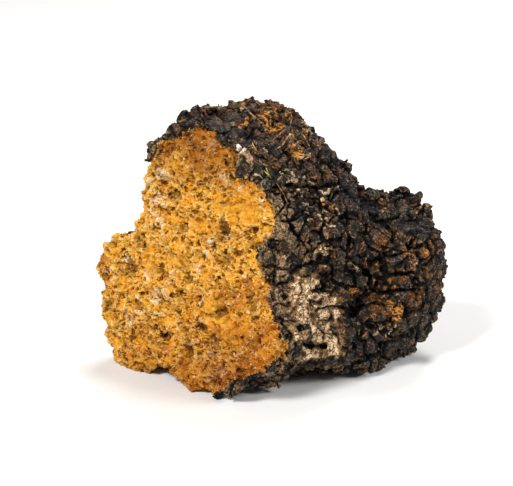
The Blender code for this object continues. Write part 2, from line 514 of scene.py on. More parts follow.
# The pale plates and the bare spots lie smoother than the char, so the blocks of the solid
# are smoothed out under them
plates = patches(points, PALE_BARK, wander)
worn = patches(points, BARE, wander)
calmed = np.minimum(1, np.maximum(plates, worn) * SMOOTHED_GAIN)
smoothed = skin.vertex_groups.new(name="smoothed")
for number in np.flatnonzero(calmed > SMOOTHED_FROM).tolist():
    smoothed.add([number], float(calmed[number]), "REPLACE")
modify(skin, "SMOOTH", factor=SMOOTHING_STRENGTH, iterations=SMOOTHING_PASSES, vertex_group="smoothed")
plates = np.maximum(plates, worn)

edge, _ = sample(crackle(BLOCK_SIZE, CELL_BEND), points).T
lump_edge, _ = sample(crackle(LUMP_SIZE, CELL_BEND), points).T
swells = sample(tufts(SWELL_SIZE, smoothness=0.7, finer=2.2, layers=3), points)
knobs = sample(pebbles(KNOB_SIZE, bend=0.45), points)
nubs = sample(pebbles(NUB_SIZE, bend=0.5), points)
ledges = sample(terraces(LEDGE_SIZE, steps=5), points)
crown = patches(points, CROWN, wander * 2)
sleek = patches(points, SLEEK, wander)
dome = np.sqrt(np.clip(edge / DOME_REACH, 0, 1)) - MEAN_DOME
cobble = np.sqrt(np.clip(lump_edge / LUMP_REACH, 0, 1)) - MEAN_DOME

# Each kind of relief of the rind, with how far the plates and the sleek rind flatten it
rough = 0
for relief, by_plates, by_sleek in (
        (SOLID_CRACK_FILL * (1 - ramp(edge, 0, SOLID_CRACK_WIDTH)), 1.0, 0.0),
        (between(crown, DOME_RISE) * dome, 0.9, 0.0),
        (between(crown, LUMP_RISE) * cobble, 1.8, 0.4),
        (between(crown, KNOB_RISE) * (knobs - MEAN_PEBBLE) + NUB_RISE * (nubs - MEAN_PEBBLE), 1.0, 0.7),
        (SWELL_RISE * swells, 0.6, 0.0),
        (between(crown, LEDGE_RISE) * ledges, 0.9, 0.7)):
    rough += relief * (1 - np.minimum(1, by_plates * plates)) * (1 - by_sleek * sleek)
rough += PLATE_RISE * plates + FOLD_RISE * folded
for spots, rise in ((SHOULDER, 1.6), (BIG_BLOCK, 1.2), (LOBE_ON_FACE, 1.8), (RIND_HOLLOWS, -2.6)):
    rough += rise * patches(points, spots, wander)

pits = patches(points, HEART_HOLLOWS, wander * 1.3)
# The hollows, also kept for the painted shade in them
store(skin, "pits", pits)
flowing = tufts(FLOW_SIZE, smoothness=0.6, finer=2.1, layers=3)
flow = sample(drawn_out(flowing, FLOW_LEAN, *FLOW_SWAY), points)
cork = WAVE_RISE * swells + FLOW_RISE * flow - PIT_DEPTH * pits - RIM_DEPTH * (1 - ramp(inside, 0, 4))
push_out(skin, rind * rough + heart * cork + EDGE_RISE * edge_bulges)
# How far the rough surface stands out of its wide surroundings; the rind's large hollows get painted shade
# from it
store(skin, "bulge", crests_of(skin, BROAD_BLUR))

skin.data.remesh_voxel_size = FINE_VOXEL
skin.data.use_remesh_preserve_attributes = True
only(skin)
bpy.ops.object.voxel_remesh()
skin_tree = surface_of(skin)


# The charred rind, fine. It dried and split like charcoal: cracks where the photograph shows
# them and more of their kind on the sides that it doesn't, lumps and crumbs between them,
# and plates of pale bark that lie smoother. A crack is a row of pixels.
CROOK_SIZE = 2.4
CROOK = 0.6
GAPE_SIZE = 13.0
PARTING_SIZE = 7.0
PLATE_SIZE = 4.6
CRUMB_SIZE = 2.5
CRINKLE_SIZE = 2.6
GRAIN_SIZE = 1.4

# Where clouds let the blocks gape and the lumps part, and how much the crown stays closed
GAPES = (-0.3, 0.3)
PARTS = (-0.35, 0.1)
CROWN_CLOSED = 0.8

# Where the wall of a crack starts and ends, from its middle, then heights and depths
BLOCK_CRACK = (0.05, 0.35)
GAPE_WIDTH = 0.45
MAIN_CRACK = (0.3, 1.1)
THIN_CRACK = (0.1, 0.65)
PLATE_CRACK = (0.04, 0.3)
CREVICE = (0.05, 0.4)
SHRED_STRAND = (0.3, 0.9)
EDGE_LINE = (0.15, 0.7)
GRAINY_EDGE = 0.15
MEAN_RIDGE = 1.2
MEAN_LUMP = 0.8
CRACK_DEPTH = 2.4
CREVICE_DEPTH = 0.7
FINE_LUMP_RISE = 1.5
CRUMB_RISE = 0.4
CRINKLE_RISE = 0.22
GRAIN_RISE = 0.18
PLATE_STEP = 0.5
EDGE_LINE_RISE = 0.5
SHRED_RISE = 0.5
SHRED_FRAY = 1.6
CRACK_BARENESS = 0.8
MAIN_CRACKS = [
    [(292, 272), (300, 266), (313, 263)], [(286, 185), (300, 186), (318, 187), (336, 184)],
    [(303, 344), (313, 347), (325, 346)], [(319, 309), (330, 309), (341, 307), (352, 311), (362, 305)],
    [(346, 214), (348, 222), (345, 233), (338, 241), (330, 240)],
    [(361, 205), (369, 213), (371, 220), (385, 221), (399, 216)],
    [(365, 226), (365, 240), (372, 250), (392, 256), (401, 252)],
    [(337, 262), (345, 261), (360, 265), (369, 276), (371, 290), (380, 293), (396, 291), (420, 290)],
]
FINE_CRACKS = [
    [(291, 316), (295, 308), (305, 303)], [(309, 300), (317, 304)],
    [(330, 309), (332, 316), (329, 321), (320, 321), (317, 314)], [(300, 327), (305, 324), (312, 325)],
    [(277, 335), (285, 334)], [(268, 287), (278, 284), (290, 282)],
    [(318, 244), (326, 241), (335, 249), (337, 258)], [(272, 306), (279, 303), (290, 307)],
    [(280, 324), (290, 320), (298, 322)], [(308, 301), (315, 303), (323, 302)],
    [(323, 308), (332, 307), (340, 309), (347, 307)], [(310, 313), (317, 318)],
    [(300, 283), (303, 290), (299, 296)], [(318, 326), (325, 333), (323, 341)],
    [(330, 330), (338, 336), (340, 345)], [(340, 320), (346, 326), (355, 326)],
    [(296, 268), (302, 276), (312, 275)],
]
# Pale edges: lines of torn bark, and along some block rims painted highlight
PALE_EDGES = [
    [(286, 170), (291, 171), (294, 176), (292, 180), (297, 181), (300, 176), (304, 177), (303, 182),
     (299, 185)], [(295, 182), (297, 187), (300, 192), (301, 196)],
    [(308, 180), (313, 184), (317, 184)], [(287, 182), (291, 180)],
    [(278, 180), (281, 176), (283, 173)], [(313, 197), (317, 201), (322, 200)],
    [(320, 190), (323, 195), (328, 192)], [(329, 190), (335, 188), (338, 186)],
    [(246, 175), (252, 174), (257, 175), (262, 177)], [(256, 162), (264, 164)],
    [(290, 137), (296, 138), (299, 142)], [(264, 148), (267, 151), (266, 153)],
    [(300, 158), (306, 156), (309, 154)], [(303, 128), (306, 131), (309, 129), (311, 135)],
    [(304, 124), (308, 126), (311, 130)], [(321, 211), (327, 213)],
    [(332, 206), (337, 209), (340, 214)], [(318, 215), (322, 219), (327, 219)],
    [(302, 203), (308, 206), (312, 205)], [(324, 222), (329, 226), (334, 226)],
    [(306, 212), (311, 215), (314, 221)], [(344, 262), (352, 264), (357, 268)],
    [(366, 276), (369, 284), (368, 291)], [(374, 335), (380, 330), (386, 325)],
    [(325, 337), (333, 338), (342, 336)], [(386, 336), (392, 331), (397, 325)],
    [(410, 262), (413, 265), (416, 263)], [(352, 316), (354, 318), (356, 317)],
]
SHRED = [(241, 150, 2.2, 1), (244, 148, 1.4, 1), (244, 153, 1.4, 0.8)]
SHRED_TAIL = [[(242, 151), (246, 154), (248, 160), (252, 165)], [(245, 150), (250, 155), (251, 161)]]


def stored(piece, name):
    values = np.empty(len(piece.data.vertices), np.float32)
    piece.data.attributes[name].data.foreach_get("value", values)
    return values


def over_all(values, where, others=0.0):
    """Values of some of the skin's points, with another value for the rest of them."""
    whole = np.full(len(points), others)
    whole[where] = values
    return whole


def part_way(start, end, part):
    """The pixel that lies a part of the way from one to another."""
    return start[0] + (end[0] - start[0]) * part, start[1] + (end[1] - start[1]) * part


def lines(places, routes, reach=8.0):
    """How far each place is from the nearest of the routes, each a row of pixels."""
    nearest = np.full(len(places), reach)
    for route in routes:
        found = []
        for start, end in zip(route, route[1:]):
            steps = max(1, int(math.dist(start, end) / 3))
            for step in range(steps + 1):
                hit = seen_at(part_way(start, end, step / steps))
                if hit is not None:
                    found.append(np.array(hit))
        low, high = np.min(found, 0) - reach, np.max(found, 0) + reach
        near = np.flatnonzero(((places > low) & (places < high)).all(1))
        for a, b in zip(found, found[1:]):
            run = b - a
            if run @ run < 1e-6:
                continue
            along = np.clip((places[near] - a) @ run / (run @ run), 0, 1)
            away = np.linalg.norm(places[near] - a - along[:, None] * run, axis=1)
            nearest[near] = np.minimum(nearest[near], away)
    return nearest


def ridges(size, finer):
    """A pattern of sharp crests with hollows between them."""
    return lambda point: noise.ridged_multi_fractal(point / size, 0.9, finer, 3, 1.0, 2.0)


points = vectors_of(skin, "co")
heart = ramp(stored(skin, "heart"), 0.35, 0.65)
rind = 1 - heart
wander = sample(clouds(WANDER), points)
pale_bark = patches(points, PALE_BARK, wander * 1.5)
bare = patches(points, BARE, wander * 1.5)
sleek = patches(points, SLEEK, wander * 1.5)
shred_tail = 1 - ramp(lines(points, SHRED_TAIL) + wander * 0.4, *SHRED_STRAND)
shred = np.maximum(patches(points, SHRED, wander), 0.7 * shred_tail)

in_rind = rind > 0
crust = points[in_rind]
plates = pale_bark[in_rind]
whole = np.minimum(1, np.maximum(plates * 1.8, bare[in_rind]))
smooth = np.maximum.reduce([plates * 0.85, bare[in_rind] * 0.6, sleek[in_rind] * 0.75])
grain = sample(tufts(GRAIN_SIZE, smoothness=0.6, finer=2.1, layers=3), crust)
crumbs = sample(pebbles(CRUMB_SIZE, bend=0.5), crust)
crinkle = sample(ridges(CRINKLE_SIZE, finer=2.1), crust)

# Cells of three sizes. The large ones part in cracks that gape in places and close in
# others, the lumps in shallow crevices, and the plates of bark in hairlines.
crooked = crust + sample(lambda point: noise.noise_vector(point / CROOK_SIZE), crust) * CROOK
edge, block_number = sample(crackle(BLOCK_SIZE, CELL_BEND), crooked).T
lump_edge, lump_number = sample(crackle(LUMP_SIZE, CELL_BEND), crooked).T
plate_edge, plate_number = sample(crackle(PLATE_SIZE, bend=2.0), crooked).T
edge = edge + grain * GRAINY_EDGE
lump_edge = lump_edge + grain * GRAINY_EDGE
gape = ramp(sample(clouds(GAPE_SIZE), crust), *GAPES)
gape = gape * (1 - CROWN_CLOSED * patches(crust, CROWN, crust[:, 0] * 0))
parted = ramp(sample(clouds(PARTING_SIZE), crust), *PARTS)
block_crack = 1 - ramp(edge, BLOCK_CRACK[0], BLOCK_CRACK[1] + GAPE_WIDTH * gape)
open_crack = np.maximum.reduce([
    block_crack * (0.25 + 0.75 * gape) * (1 - 0.9 * whole),
    1 - ramp(lines(crust, MAIN_CRACKS) + grain * 0.4, *MAIN_CRACK),
    0.8 * (1 - ramp(lines(crust, FINE_CRACKS) + grain * 0.25, *THIN_CRACK)),
    0.6 * (1 - ramp(plate_edge + grain * 0.12, *PLATE_CRACK)) * plates * ramp(gape, 0.1, 0.6),
])
crevice = (1 - ramp(lump_edge, *CREVICE)) * parted * (1 - whole)
lump = np.sqrt(np.clip(lump_edge / LUMP_REACH, 0, 1)) - MEAN_LUMP
pale_edge = (1 - ramp(lines(crust, PALE_EDGES) + grain * 0.5, *EDGE_LINE)) * ramp(crumbs, 0.1, 0.5)
rough = CRUMB_RISE * (crumbs - MEAN_PEBBLE) + CRINKLE_RISE * (crinkle - MEAN_RIDGE) + GRAIN_RISE * grain
rough *= 1 - smooth
rough += FINE_LUMP_RISE * lump * parted * (1 - whole) - CREVICE_DEPTH * crevice
rough += PLATE_STEP * plates * (plate_number - 0.5) + EDGE_LINE_RISE * pale_edge
rough += shred[in_rind] * (SHRED_RISE + SHRED_FRAY * grain)
height = over_all(rough * (1 - CRACK_BARENESS * open_crack) - CRACK_DEPTH * open_crack, in_rind)


# The corky heart, fine. It is a soft, dry tissue that tears like cork: crumbly and pitted,
# drawn out in threads along its growth, with calm fields of powder.
CALM_SIZE = 6.0
CALM_DRIFT = 0.6
CALMEST = 0.9
CLUMP_SIZE = 3.8
FIBRE_SIZE = 1.5
THREAD_SIZE = 2.6
GRANULE_SIZE = 1.6
FIBRE_LEAN = math.radians(20)
FIBRE_SWAY = (8.0, 3.0)
THREAD_SWAY = (6.0, 2.0)
PORE_EDGE = (0.55, 1.0)

# Heights and depths where it is crumbly and where it is calm
CLUMP_RISE = (0.55, 0.2)
FIBRE_RISE = (0.6, 0.4)
THREAD_RISE = (0.5, 0.2)
PORE_DEPTH = (0.9, 0.4)
GRANULE_RISE = 0.2
POWDER = [
    (240, 208, 9, 1), (222, 200, 6, 0.8), (255, 215, 5, 0.8), (225, 325, 8, 1), (240, 335, 6, 0.8),
    (150, 262, 6, 0.7), (175, 255, 5, 0.6), (125, 285, 5, 0.7), (115, 340, 6, 0.6), (200, 222, 5, 0.6),
    (210, 305, 5, 0.7), (245, 310, 4, 0.6), (200, 132, 5, 0.8), (135, 360, 6, 0.6), (163, 168, 4, 0.5),
]

in_heart = heart > 0
face = points[in_heart]
calm = patches(face, POWDER, wander[in_heart]) + CALM_DRIFT * sample(clouds(CALM_SIZE), face)
calm = np.clip(calm, 0, CALMEST)
clump = sample(tufts(CLUMP_SIZE, smoothness=0.35, finer=2.2, layers=5), face)
pore = ramp(-clump, *PORE_EDGE)
granules = sample(pebbles(GRANULE_SIZE, bend=0.6), face)
fibrous = tufts(FIBRE_SIZE, smoothness=0.7, finer=2.1, layers=3)
fibre = sample(drawn_out(fibrous, FIBRE_LEAN, *FIBRE_SWAY), face)
threads = sample(drawn_out(ridges(THREAD_SIZE, finer=2.2), FIBRE_LEAN, *THREAD_SWAY), face)
cork = between(calm, CLUMP_RISE) * clump + between(calm, FIBRE_RISE) * fibre
cork += between(calm, THREAD_RISE) * (threads - MEAN_RIDGE) - between(calm, PORE_DEPTH) * pore
cork += GRANULE_RISE * (granules - MEAN_PEBBLE)
height[in_heart] = height[in_heart] * rind[in_heart] + cork * heart[in_heart]
push_out(skin, height)


# The finish of the rind: char, with rust and tan where it is rubbed, bare orange spots, and
# plates, films and shreds of the birch's bark. They lie where the photograph shows them,
# and more of their kind on the sides that it doesn't. Highlight is also painted on its crests,
# and shade in its hollows and cracks and at the feet of its lumps and blocks.
FINE_BLUR = 14
SEEN = (-0.35, 0.05)
RUST_STAIN = {"size": 17.0, "shift": (0, 0, 0), "strength": 0.8, "edge": (0.2, 0.6)}
GREY_STAIN = {"size": 13.0, "shift": (31, 7, 5), "strength": 0.6, "edge": (0.35, 0.7)}
LIP_WIDTH = (0.6, 3.4)
LIP_DEPTH = 8.0
OPEN = 9.0
RUST = [
    (270, 115, 3.5, 0.8), (281, 113, 4.5, 0.8), (291, 115, 4, 0.7), (301, 118, 3.5, 0.6),
    (272, 125, 5, 1.3), (297, 152, 5, 1.3), (294, 139, 3, 0.9), (242, 104, 2, 0.7), (246, 125, 2, 0.6),
    (332, 211, 2.5, 0.7), (324, 203, 1.6, 0.8), (382, 246, 4.4, 0.9), (405, 251, 2.6, 0.7),
    (415, 245, 2.2, 0.6), (427, 253, 4.4, 1.1), (435, 245, 3, 0.8), (417, 205, 3.5, 0.6),
    (366, 264, 2.4, 0.7), (380, 265, 4.4, 0.8), (397, 277, 4, 0.9), (353, 292, 3.6, 0.8),
    (383, 303, 5, 1.1), (373, 298, 3.6, 0.9), (396, 312, 5, 1.4), (405, 304, 4.4, 1.1),
    (437, 284, 3.4, 0.9), (403, 332, 3.2, 0.8), (380, 283, 2.6, 0.6), (392, 287, 3.6, 0.8),
    (262, 133, 2.5, 0.5), (416, 296, 4, 0.8), (428, 272, 3, 0.7), (366, 288, 3, 0.6),
]
GREY_BARK = [
    (279, 276, 4.6, 0.8), (277, 292, 4.4, 0.8), (281, 308, 4.4, 0.8), (284, 320, 3.6, 0.8),
    (289, 331, 3.6, 0.7), (287, 345, 3.8, 0.8), (288, 358, 3.6, 0.8), (282, 366, 3.6, 0.8),
    (268, 250, 4, 0.9), (272, 240, 3.6, 0.8), (281, 262, 3.6, 0.7), (304, 244, 4.4, 0.6),
    (311, 254, 4, 0.5), (279, 383, 5, 0.8), (296, 335, 3.4, 0.6), (315, 367, 4.4, 0.7),
    (334, 366, 4.4, 0.6), (300, 361, 3.4, 0.7), (270, 375, 4, 0.7), (294, 248, 3.6, 0.5),
    (155, 148, 5, 1), (152, 155, 4, 1), (164, 140, 3.6, 0.8), (276, 228, 2.6, 0.6), (290, 294, 3, 0.6),
    (103, 262, 4, 0.7), (102, 274, 3.4, 0.6), (104, 252, 3, 0.6), (225, 391, 4, 0.5),
    (324, 230, 3, 0.4), (284, 205, 4, 0.7), (290, 220, 4, 0.7), (282, 232, 4, 0.8), (292, 238, 4, 0.7),
    (280, 214, 3, 0.7), (298, 228, 3, 0.5), (290, 200, 3.5, 0.5), (276, 198, 3, 0.5),
    (306, 240, 3.5, 0.5),
]
CREAM = [
    (296, 296, 2.2, 0.8), (303, 297, 2.6, 1), (309, 297, 2.6, 1), (314, 299, 2, 1),
    (326, 296, 1.6, 0.8), (325, 304, 2.2, 1), (332, 304, 2.2, 1), (322, 314, 2.4, 1),
    (328, 315, 2.2, 1), (336, 313, 1.8, 0.8), (304, 306, 2.4, 0.8), (307, 312, 2.2, 0.9),
    (309, 319, 2.4, 0.9), (303, 321, 2, 0.8), (314, 328, 2.2, 1), (314, 335, 2.2, 1),
    (322, 327, 2.4, 1), (327, 330, 2.2, 1), (325, 338, 2.6, 0.9), (331, 344, 2.6, 0.9),
    (334, 351, 2, 0.6), (308, 354, 2.4, 0.5), (315, 355, 1.8, 0.5), (313, 283, 2.2, 0.9),
    (312, 289, 2.2, 0.9), (324, 250, 1.5, 0.9), (326, 255, 1.2, 0.7), (285, 258, 1.2, 0.5),
    (306, 284, 1.6, 0.6), (299, 288, 2, 0.6), (299, 337, 1.6, 0.5),
]
LIP = [
    (240, 160, 3, 0.7), (250, 176, 3.5, 0.9), (260, 183, 3.5, 1), (268, 195, 3.5, 1),
    (274, 208, 3.5, 0.9), (277, 222, 3.5, 1), (273, 236, 4, 1), (266, 246, 4, 1), (262, 258, 3.5, 0.9),
    (267, 272, 3, 0.7), (272, 288, 3, 0.7), (276, 304, 3, 0.7), (281, 322, 3, 0.7), (285, 340, 3, 0.7),
    (281, 360, 3, 0.7), (158, 146, 5, 0.8), (150, 160, 3, 0.6), (101, 262, 3, 0.6),
]


def stained(size, shift, strength, edge):
    """How much the rind on the sides that the photograph doesn't show is stained, in clouds."""
    shift = Vector(shift)
    stain = sample(lambda point: noise.fractal(point / size + shift, 0.5, 2.1, 3), points)
    return strength * rind * unseen * ramp(stain, *edge)


to_eye = np.array(eye) - points
to_eye /= np.linalg.norm(to_eye, axis=1)[:, None]
unseen = 1 - ramp((to_eye * vectors_of(skin, "normal")).sum(1), *SEEN)
rust = np.maximum(patches(points, RUST, wander * 1.6), stained(**RUST_STAIN))
grey_bark = np.maximum(patches(points, GREY_BARK, wander * 1.4), stained(**GREY_STAIN))
wide_cream = [(across, down, radius * 1.2, strength) for across, down, radius, strength in CREAM]
lip = patches(points, LIP, wander * 1.5) * (points[:, 1] < LIP_DEPTH)
lip = lip * (1 - ramp(np.abs(inside_of(points, outline) + wander * 0.8), *LIP_WIDTH))
# How far each point stands out of its near surroundings: painted highlight on the crests and painted shade
# in the hollows follow it
store(skin, "crest", crests_of(skin, FINE_BLUR))
# The cracks and the crevices between lumps, painted near black as shade
store(skin, "crack", over_all(np.maximum(open_crack, crevice * 0.8), in_rind))
store(skin, "block", over_all(block_number * 0.5 + lump_number * 0.5, in_rind))
# How far inside its block and its lump each point lies: painted shade darkens their feet
store(skin, "block_edge", over_all(edge, in_rind, OPEN))
store(skin, "lump_edge", over_all(lump_edge, in_rind, OPEN))
store(skin, "pale_edge", over_all(pale_edge, in_rind))
store(skin, "crown", patches(points, CROWN, wander * 2))
store(skin, "sleek", np.maximum.reduce([sleek, pale_bark * 0.8, bare * 0.6]))
store(skin, "cream", patches(points, wide_cream, wander * 1.6))
store(skin, "bare", bare)
store(skin, "shred", shred)
store(skin, "rust", rust)
store(skin, "lip", lip)
store(skin, "pale_bark", pale_bark)
store(skin, "grey_bark", grey_bark)
store(skin, "bark", np.maximum(pale_bark, grey_bark))

# Sizes of the patterns in mm. The dust of the char is under 0.1 mm, too fine to show, so
# its grit is drawn at 0.9 mm.
RIND_CLOUDS = {"grit": 0.9, "mottle": 2.2, "cloud": 7.0}
RIND_WAVE = 3.0
RIND_SPLIT = 4.4
RIND_CRUMB = 1.5
RIND_CRINKLE = 1.9
RIND_STREAK = 1.1
STREAK_LEAN = math.radians(-35)
STREAK_STRETCH = (0.35, 1, 1)
RIND_BENDS = (3.5, 2.0)
RIND_BUMP = 0.7
BUMP_STRENGTH = 0.8
BREAK_UP = 0.8
RIND_ROUGHNESS = (0.36, 0.75)
BARK_ROUGHNESS = 0.4
RIND_GLOSS = 0.24


def scale_of(size):
    """The scale of a pattern with a size in millimetres."""
    return 1 / (size * MM)


def read_patterns(tree, stored_names, cloud_sizes):
    """What a material reads: where it is, and by name the skin's stored values and clouds."""
    place = add_node(tree, "ShaderNodeTexCoord").outputs["Object"]
    patterns = {
        name: add_node(tree, "ShaderNodeAttribute", attribute_name=name).outputs["Fac"]
        for name in stored_names
    }
    for name, size in cloud_sizes.items():
        patterns[name] = add_node(tree, "ShaderNodeTexNoise", {
            "Vector": place, "Scale": scale_of(size), "Detail": 4.0, "Roughness": 0.62}).outputs["Fac"]
    return place, patterns


def layered(tree, patterns, layers):
    """Paints layers over each other. Each has a colour, or stops along a pattern, a strength, and
    the masks that say where it shows: (pattern, value with none, value with all[, pattern that
    breaks its edge])."""
    colour = None
    for paint, share, *masks in layers:
        if isinstance(paint, tuple):
            name, *stops = paint
            paint = add_node(tree, "ShaderNodeValToRGB", {"Fac": patterns[name]},
                             stops=stops).outputs["Color"]
        if colour is None:
            colour = paint
            continue
        for name, none, full, *breakers in masks:
            value = patterns[name]
            for breaker in breakers:
                value = add_node(tree, "ShaderNodeMath", {0: patterns[breaker], 1: BREAK_UP, 2: value},
                                 operation="MULTIPLY_ADD").outputs[0]
                none, full = none + BREAK_UP / 2, full + BREAK_UP / 2
            value = add_node(tree, "ShaderNodeMapRange", {
                "Value": value, "From Min": none, "From Max": full}).outputs["Result"]
            share = add_node(tree, "ShaderNodeMath", {0: share, 1: value}, operation="MULTIPLY").outputs[0]
        colour = add_node(tree, "ShaderNodeMix", {0: share, 6: colour, 7: paint},
                          data_type="RGBA").outputs[2]
    return colour


# Charred rind, grown and then cracked by frost and drying: near black and matt, with a faint
# sheen on the faces of the char, none on the bark, and a fine crinkle all over
rind_material, tree, shader = new_material("charred rind", Specular_IOR_Level=RIND_GLOSS)
place, patterns = read_patterns(tree, (
    "crack", "block", "crest", "bulge", "rust", "pale_bark", "grey_bark", "bark", "lip", "block_edge",
    "lump_edge", "crown", "bare", "shred", "pale_edge", "sleek", "cream"), RIND_CLOUDS)
wave = add_node(tree, "ShaderNodeTexNoise", {
    "Vector": place, "Scale": scale_of(RIND_WAVE), "Detail": 3.0}).outputs["Color"]
crooked, swayed = [
    add_node(tree, "ShaderNodeVectorMath", {0: wave, 1: (bend * MM,) * 3, 2: place},
             operation="MULTIPLY_ADD").outputs[0]
    for bend in RIND_BENDS
]
drawn = add_node(tree, "ShaderNodeMapping", {
    "Vector": swayed, "Rotation": (0, STREAK_LEAN, 0), "Scale": STREAK_STRETCH}).outputs["Vector"]
for name, size, along in (("crinkle", RIND_CRINKLE, crooked), ("streak", RIND_STREAK, drawn)):
    patterns[name] = add_node(tree, "ShaderNodeTexNoise", {
        "Vector": along, "Scale": scale_of(size), "Detail": 3.0, "Roughness": 0.6, "Offset": 1.0},
        noise_type="RIDGED_MULTIFRACTAL").outputs["Fac"]
patterns["split"] = add_node(tree, "ShaderNodeTexVoronoi", {
    "Vector": crooked, "Scale": scale_of(RIND_SPLIT)}, feature="DISTANCE_TO_EDGE").outputs["Distance"]
patterns["crumb"] = add_node(tree, "ShaderNodeTexVoronoi", {
    "Vector": crooked, "Scale": scale_of(RIND_CRUMB)}).outputs["Distance"]
colour = layered(tree, patterns, [
    # Char, each block in its own tone, browner in clouds and on the crown
    (("block", (0.0, "#0D0907"), (0.5, "#18120D"), (1.0, "#2A2017")), 1.0),
    ("#422A16", 0.9, ("cloud", 0.47, 0.62), ("grit", 0.44, 0.56)),
    ("#4A3022", 0.75, ("crown", 0.1, 0.8), ("mottle", 0.4, 0.58)),
    # Crests lightened grey, tan and ochre, with paler grains: partly rubbed wear, partly painted highlight
    (("cloud", (0.42, "#4A433C"), (0.5, "#6A563C"), (0.58, "#7C5226")), 0.8,
     ("crinkle", 1.0, 1.6), ("crest", -0.4, 0.2)),
    (("cloud", (0.42, "#887E70"), (0.5, "#A88F6C"), (0.58, "#C08A56")), 1.0,
     ("crinkle", 1.15, 1.65), ("grit", 0.44, 0.56), ("crest", -0.1, 0.4)),
    (("mottle", (0.35, "#8C4A14"), (0.5, "#C07A34"), (0.65, "#DDB98A")), 1.0,
     ("grit", 0.57, 0.63), ("cloud", 0.54, 0.6), ("crest", -0.3, 0.1)),
    # Painted shade: hollows darkened to black, small and large ones
    ("#040302", 0.6, ("crest", -0.2, -0.8)),
    ("#040302", 0.4, ("bulge", -0.3, -1.7)),
    # Rust, then painted shade, near black, at the feet of the lumps and blocks
    (("grit", (0.36, "#170C04"), (0.48, "#54300E"), (0.58, "#93591C"), (0.66, "#CC8C3C")), 1.0,
     ("rust", 0.3, 0.7, "mottle"), ("crest", -0.3, 0.15)),
    ("#030201", 0.9, ("lump_edge", 0.6, 0.15)),
    ("#030201", 0.8, ("block_edge", 0.9, 0.1)),
    # Bare orange tissue where the char has broken off
    (("streak", (0.5, "#2E1805"), (1.05, "#6E3F0B"), (1.45, "#A26413"), (1.8, "#C8862E")), 0.95,
     ("bare", 0.2, 0.6, "grit"), ("grit", 0.38, 0.46)),
    # Grey bark, the lip round the break, pale bark and its cream plates
    (("grit", (0.36, "#403222"), (0.5, "#7E664A"), (0.64, "#B89A72")), 1.0,
     ("grey_bark", 0.2, 0.5, "mottle"), ("crest", -0.7, -0.2)),
    (("grit", (0.36, "#46321E"), (0.5, "#90704A"), (0.64, "#D6B082")), 1.0,
     ("lip", 0.12, 0.5), ("mottle", 0.38, 0.5)),
    (("mottle", (0.36, "#402D1C"), (0.47, "#86623E"), (0.58, "#B38D60")), 0.95,
     ("pale_bark", 0.15, 0.6, "mottle")),
    (("grit", (0.34, "#9C744C"), (0.46, "#D8B084"), (0.6, "#F8DEB8")), 1.0,
     ("cream", 0.22, 0.5, "grit")),
    # Specks of char on the bark, pale edges (torn bark, and painted highlight along some block rims) and
    # the shred
    ("#20150B", 0.8, ("bark", 0.2, 0.6), ("grit", 0.43, 0.36)),
    ("#140D07", 0.9, ("bark", 0.1, 0.4), ("crumb", 0.3, 0.18)),
    (("grit", (0.36, "#4E3A28"), (0.5, "#B4946C"), (0.62, "#E6CFA8")), 0.95, ("pale_edge", 0.25, 0.7)),
    (("grit", (0.4, "#7A5A3A"), (0.55, "#C8A47A")), 1.0, ("shred", 0.2, 0.5), ("mottle", 0.4, 0.5)),
    (("grit", (0.36, "#E6BC8A"), (0.48, "#FFF2DC")), 1.0, ("shred", 0.72, 0.85)),
    # Splits in the bark drawn dark, then painted shade at the feet of the lumps on the grey bark, and
    # near-black painted shade in the cracks and crevices
    ("#0A0604", 0.8, ("bark", 0.1, 0.4), ("split", 0.045, 0.02), ("cloud", 0.42, 0.52)),
    ("#0A0604", 0.7, ("grey_bark", 0.1, 0.4), ("lump_edge", 0.4, 0.15)),
    ("#030202", 1.0, ("crack", 0.0, 0.9)),
])
tree.links.new(colour, shader.inputs["Base Color"])
sheen = add_node(tree, "ShaderNodeMapRange", {
    "Value": patterns["grit"], "From Min": 0.35, "From Max": 0.65,
    "To Min": RIND_ROUGHNESS[0], "To Max": RIND_ROUGHNESS[1]}).outputs["Result"]
sheen = add_node(tree, "ShaderNodeMath", {0: patterns["bark"], 1: BARK_ROUGHNESS, 2: sheen},
                 operation="MULTIPLY_ADD", use_clamp=True).outputs[0]
tree.links.new(sheen, shader.inputs["Roughness"])
grains = patterns["mottle"]
for name, rise in (("crumb", -1.0), ("crinkle", 0.55), ("grit", 1.4)):
    grains = add_node(tree, "ShaderNodeMath", {0: patterns[name], 1: rise, 2: grains},
                      operation="MULTIPLY_ADD").outputs[0]
flat = add_node(tree, "ShaderNodeMath", {0: patterns["sleek"], 1: -0.75, 2: 1.0},
                operation="MULTIPLY_ADD").outputs[0]
grains = add_node(tree, "ShaderNodeMath", {0: grains, 1: flat}, operation="MULTIPLY").outputs[0]
bump = add_node(tree, "ShaderNodeBump", {
    "Height": grains, "Distance": RIND_BUMP * MM, "Strength": BUMP_STRENGTH}).outputs["Normal"]
tree.links.new(bump, shader.inputs["Normal"])


# The finish of the heart: golden cork, paler on the tips of its threads and in its powder,
# browner towards the top and orange along the lower right edge, with painted shade in its
# pores and hollows and painted highlight on its crests.
DRIFT_SIZE = 8.0

